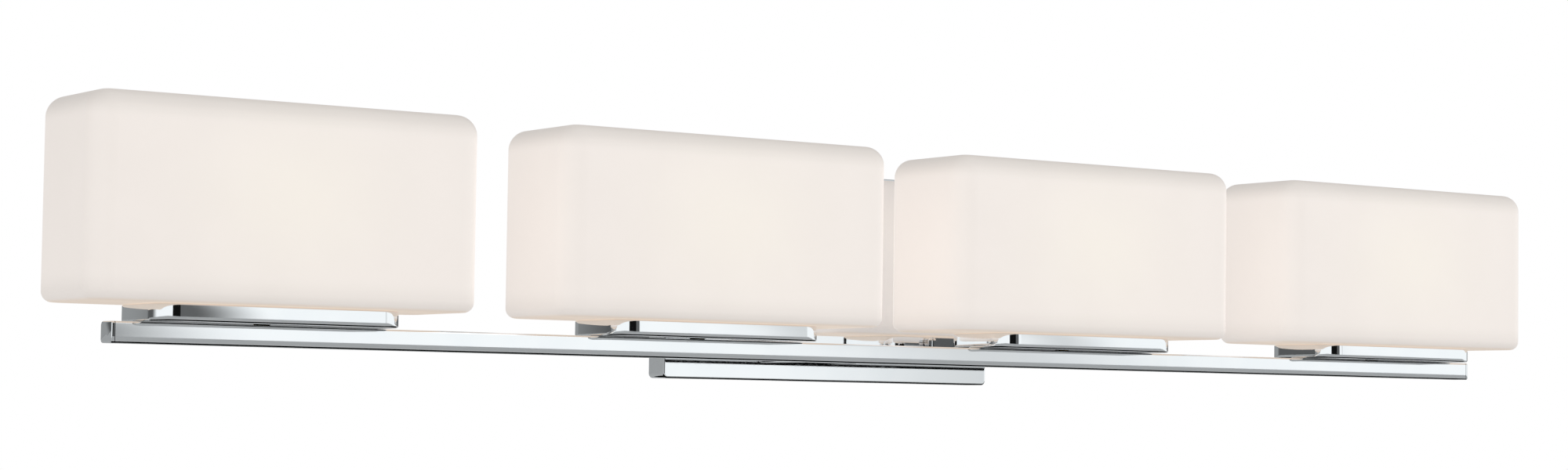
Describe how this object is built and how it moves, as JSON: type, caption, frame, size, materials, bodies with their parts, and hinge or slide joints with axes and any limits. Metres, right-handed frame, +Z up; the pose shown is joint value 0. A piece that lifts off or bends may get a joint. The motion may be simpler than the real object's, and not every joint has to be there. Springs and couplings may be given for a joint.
{
  "type": "vanity light bar",
  "caption": "Wall light for over a mirror: hollow opal glass bricks stand in chrome cups along a slim chrome bar, carried by one arm from a shallow rectangular canopy.",
  "frame": {"origin": "on the wall plane, at the middle of the wall bracket's back face, behind the middle of the canopy", "axes": "+X to the right along the bar as seen by someone facing the lamp, +Y into the wall, +Z up; the lamp's front faces -Y"},
  "size_m": [0.93, 0.101, 0.1228],
  "materials": {
    "opal_glass": "satin-etched warm white opal, lit from inside",
    "chrome": "mirror-polished chrome plate",
    "steel": "zinc-plated steel",
    "brass": "plain turned brass",
    "lamp_glass": "frosted lamp, lit",
    "ceramic": "unglazed white ceramic",
    "gasket_silicone": "matte translucent silicone",
    "insulation_black": "smooth wire insulation",
    "insulation_white": "smooth wire insulation",
    "insulation_green": "smooth wire insulation",
    "connector_plastic": "moulded, ribbed",
    "green_screw": "green ground screw"
  },
  "bodies": {
    "fixture": {"shade_gasket_1": "gasket_silicone", "shade_holder_1": "chrome", "nipple_1": "brass", "lock_washer_1": "steel", "lock_nut_1": "brass", "lamp_socket_1": "ceramic", "shade_gasket_2": "gasket_silicone", "shade_holder_2": "chrome", "nipple_2": "brass", "lock_washer_2": "steel", "lock_nut_2": "brass", "lamp_socket_2": "ceramic", "shade_gasket_3": "gasket_silicone", "shade_holder_3": "chrome", "nipple_3": "brass", "lock_washer_3": "steel", "lock_nut_3": "brass", "lamp_socket_3": "ceramic", "shade_gasket_4": "gasket_silicone", "shade_holder_4": "chrome", "nipple_4": "brass", "lock_washer_4": "steel", "lock_nut_4": "brass", "lamp_socket_4": "ceramic", "light_bar": "chrome", "bar_end_cap_left": "chrome", "bar_end_cap_right": "chrome", "canopy": "chrome", "support_arm": "chrome", "arm_nut_left": "steel", "arm_nut_right": "steel", "wall_bracket": "steel", "ground_screw": "green_screw", "lead_live": "insulation_black", "lead_neutral": "insulation_white", "lead_ground": "insulation_green", "wire_connector_live": "connector_plastic", "wire_connector_neutral": "connector_plastic", "wire_connector_ground": "connector_plastic"},
    "shade_1": {"glass_shade_1": "opal_glass"},
    "lamp_1": {"lamp_1": "lamp_glass"},
    "thumb_screw_1_left": {"thumb_screw_1_left": "chrome"},
    "thumb_screw_1_right": {"thumb_screw_1_right": "chrome"},
    "shade_2": {"glass_shade_2": "opal_glass"},
    "lamp_2": {"lamp_2": "lamp_glass"},
    "thumb_screw_2_left": {"thumb_screw_2_left": "chrome"},
    "thumb_screw_2_right": {"thumb_screw_2_right": "chrome"},
    "shade_3": {"glass_shade_3": "opal_glass"},
    "lamp_3": {"lamp_3": "lamp_glass"},
    "thumb_screw_3_left": {"thumb_screw_3_left": "chrome"},
    "thumb_screw_3_right": {"thumb_screw_3_right": "chrome"},
    "shade_4": {"glass_shade_4": "opal_glass"},
    "lamp_4": {"lamp_4": "lamp_glass"},
    "thumb_screw_4_left": {"thumb_screw_4_left": "chrome"},
    "thumb_screw_4_right": {"thumb_screw_4_right": "chrome"},
    "canopy_screw_left": {"canopy_screw_left": "chrome"},
    "canopy_screw_right": {"canopy_screw_right": "chrome"}
  },
  "joints": [
    {"name": "shade_1_lift", "type": "slide", "parent": "fixture", "child": "shade_1", "axis": [0, 0, 1], "range_m": [0, 0.08]},
    {"name": "lamp_1_pull", "type": "slide", "parent": "fixture", "child": "lamp_1", "axis": [0, 0, 1], "range_m": [0, 0.012]},
    {"name": "thumb_screw_1_left_turn", "type": "hinge", "parent": "fixture", "child": "thumb_screw_1_left", "pos_m": [-0.401, -0.041, -0.0327], "axis": [0, 1, 0], "range_deg": [0, 360]},
    {"name": "thumb_screw_1_right_turn", "type": "hinge", "parent": "fixture", "child": "thumb_screw_1_right", "pos_m": [-0.331, -0.041, -0.0327], "axis": [0, 1, 0], "range_deg": [0, 360]},
    {"name": "shade_2_lift", "type": "slide", "parent": "fixture", "child": "shade_2", "axis": [0, 0, 1], "range_m": [0, 0.08]},
    {"name": "lamp_2_pull", "type": "slide", "parent": "fixture", "child": "lamp_2", "axis": [0, 0, 1], "range_m": [0, 0.012]},
    {"name": "thumb_screw_2_left_turn", "type": "hinge", "parent": "fixture", "child": "thumb_screw_2_left", "pos_m": [-0.157, -0.041, -0.0327], "axis": [0, 1, 0], "range_deg": [0, 360]},
    {"name": "thumb_screw_2_right_turn", "type": "hinge", "parent": "fixture", "child": "thumb_screw_2_right", "pos_m": [-0.087, -0.041, -0.0327], "axis": [0, 1, 0], "range_deg": [0, 360]},
    {"name": "shade_3_lift", "type": "slide", "parent": "fixture", "child": "shade_3", "axis": [0, 0, 1], "range_m": [0, 0.08]},
    {"name": "lamp_3_pull", "type": "slide", "parent": "fixture", "child": "lamp_3", "axis": [0, 0, 1], "range_m": [0, 0.012]},
    {"name": "thumb_screw_3_left_turn", "type": "hinge", "parent": "fixture", "child": "thumb_screw_3_left", "pos_m": [0.087, -0.041, -0.0327], "axis": [0, 1, 0], "range_deg": [0, 360]},
    {"name": "thumb_screw_3_right_turn", "type": "hinge", "parent": "fixture", "child": "thumb_screw_3_right", "pos_m": [0.157, -0.041, -0.0327], "axis": [0, 1, 0], "range_deg": [0, 360]},
    {"name": "shade_4_lift", "type": "slide", "parent": "fixture", "child": "shade_4", "axis": [0, 0, 1], "range_m": [0, 0.08]},
    {"name": "lamp_4_pull", "type": "slide", "parent": "fixture", "child": "lamp_4", "axis": [0, 0, 1], "range_m": [0, 0.012]},
    {"name": "thumb_screw_4_left_turn", "type": "hinge", "parent": "fixture", "child": "thumb_screw_4_left", "pos_m": [0.331, -0.041, -0.0327], "axis": [0, 1, 0], "range_deg": [0, 360]},
    {"name": "thumb_screw_4_right_turn", "type": "hinge", "parent": "fixture", "child": "thumb_screw_4_right", "pos_m": [0.401, -0.041, -0.0327], "axis": [0, 1, 0], "range_deg": [0, 360]},
    {"name": "canopy_screw_left_turn", "type": "hinge", "parent": "fixture", "child": "canopy_screw_left", "pos_m": [-0.109, -0.0075, 0], "axis": [-1, 0, 0], "range_deg": [0, 360]},
    {"name": "canopy_screw_right_turn", "type": "hinge", "parent": "fixture", "child": "canopy_screw_right", "pos_m": [0.109, -0.0075, 0], "axis": [1, 0, 0], "range_deg": [0, 360]}
  ]
}
